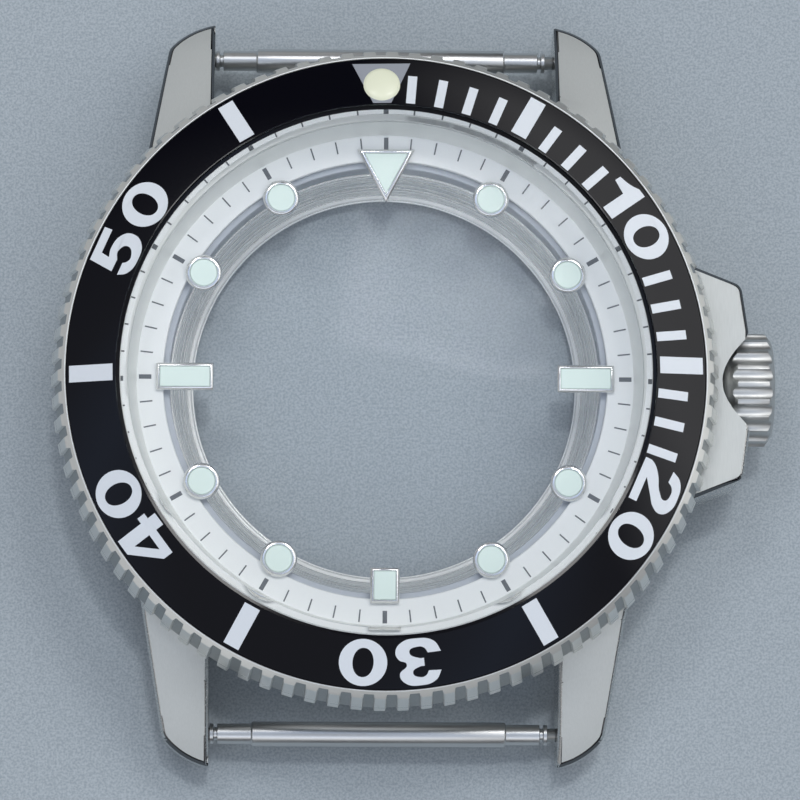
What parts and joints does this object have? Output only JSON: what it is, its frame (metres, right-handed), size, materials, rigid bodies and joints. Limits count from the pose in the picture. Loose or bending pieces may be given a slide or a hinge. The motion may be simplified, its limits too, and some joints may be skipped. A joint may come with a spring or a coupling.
{
  "type": "empty diver's watch case",
  "caption": "Empty round diver's watch case with turning bezel, flat crystal, minute ring, fluted screw-down crown, display back and spring bars; no movement, hands or dial.",
  "frame": {"origin": "centre of the movement bore at its inner end, level with the underside of the minute ring", "axes": "+Z out through the crystal, +Y towards 12 o'clock, +X towards the crown at 3 o'clock"},
  "size_m": [0.0436, 0.0458, 0.0126],
  "materials": {
    "case_steel": "satin with polished edges",
    "bezel_steel": "satin, coin edge",
    "back_steel": "turned, fine concentric lines",
    "crown_steel": "polished flutes",
    "bar_steel": "polished",
    "spring_steel": "plain",
    "crystal_glass": "clear, polished chamfer",
    "back_glass": "clear",
    "insert_black": "glossy near-black with white markings",
    "ring_silver": "silvered, fine grain",
    "marker_metal": "polished, bevelled",
    "holder_metal": "smooth satin",
    "lume": "pale mint paste",
    "seal_nylon": "off-white",
    "seal_rubber": "black"
  },
  "bodies": {
    "case": {"mid_case": "case_steel", "crystal": "crystal_glass", "crystal_gasket": "seal_nylon", "click_spring": "spring_steel", "minute_ring": "ring_silver", "round_markers": "marker_metal", "round_lume": "lume", "bar_markers": "marker_metal", "bar_lume": "lume", "six_marker": "marker_metal", "six_lume": "lume", "triangle_marker": "marker_metal", "triangle_lume": "lume", "movement_holder": "holder_metal", "crown_tube": "crown_steel"},
    "bezel": {"bezel_ring": "bezel_steel", "bezel_insert": "insert_black", "bezel_pearl": "lume", "bezel_wire": "spring_steel"},
    "back_seal": {"back_gasket": "seal_rubber"},
    "back": {"case_back": "back_steel", "back_glass": "back_glass", "back_glass_gasket": "seal_nylon"},
    "crown_core": {"crown_core": "crown_steel", "crown_spring": "spring_steel"},
    "crown": {"crown": "crown_steel", "crown_gasket": "seal_rubber", "crown_washer": "crown_steel"},
    "top_bar": {"top_bar_barrel": "bar_steel", "top_bar_spring": "spring_steel"},
    "top_bar_left_tip": {"top_bar_left_tip": "bar_steel"},
    "top_bar_right_tip": {"top_bar_right_tip": "bar_steel"},
    "bottom_bar": {"bottom_bar_barrel": "bar_steel", "bottom_bar_spring": "spring_steel"},
    "bottom_bar_left_tip": {"bottom_bar_left_tip": "bar_steel"},
    "bottom_bar_right_tip": {"bottom_bar_right_tip": "bar_steel"}
  },
  "joints": [
    {"name": "bezel_turn", "type": "hinge", "parent": "case", "child": "bezel", "pos_m": [0, 0, 0.0037], "axis": [0, 0, 1], "continuous": true, "deforming": ["click_spring"]},
    {"name": "back_lift", "type": "slide", "parent": "case", "child": "back_seal", "axis": [0, 0, -1], "range_m": [0, 0.012]},
    {"name": "back_turn", "type": "hinge", "parent": "back_seal", "child": "back", "pos_m": [0, 0, -0.005], "axis": [0, 0, -1], "range_deg": [0, 1440]},
    {"name": "crown_turn", "type": "hinge", "parent": "case", "child": "crown_core", "pos_m": [0.0215, 0, -0.0012], "axis": [1, 0, 0], "continuous": true},
    {"name": "crown_pop", "type": "slide", "parent": "crown_core", "child": "crown", "axis": [1, 0, 0], "range_m": [0, 0.001], "deforming": ["crown_spring"]},
    {"name": "top_bar_turn", "type": "hinge", "parent": "case", "child": "top_bar", "pos_m": [-0.00025, 0.0209, -0.0032], "axis": [1, 0, 0], "continuous": true},
    {"name": "top_bar_left_press", "type": "slide", "parent": "top_bar", "child": "top_bar_left_tip", "axis": [1, 0, 0], "range_m": [0, 0.0015], "stiffness_N_per_m": 600, "springref_m": -0.003, "deforming": ["top_bar_spring"]},
    {"name": "top_bar_right_press", "type": "slide", "parent": "top_bar", "child": "top_bar_right_tip", "axis": [-1, 0, 0], "range_m": [0, 0.0015], "stiffness_N_per_m": 600, "springref_m": -0.003, "deforming": ["top_bar_spring"]},
    {"name": "bottom_bar_turn", "type": "hinge", "parent": "case", "child": "bottom_bar", "pos_m": [-0.00025, -0.0209, -0.0032], "axis": [1, 0, 0], "continuous": true},
    {"name": "bottom_bar_left_press", "type": "slide", "parent": "bottom_bar", "child": "bottom_bar_left_tip", "axis": [1, 0, 0], "range_m": [0, 0.0015], "stiffness_N_per_m": 600, "springref_m": -0.003, "deforming": ["bottom_bar_spring"]},
    {"name": "bottom_bar_right_press", "type": "slide", "parent": "bottom_bar", "child": "bottom_bar_right_tip", "axis": [-1, 0, 0], "range_m": [0, 0.0015], "stiffness_N_per_m": 600, "springref_m": -0.003, "deforming": ["bottom_bar_spring"]}
  ]
}
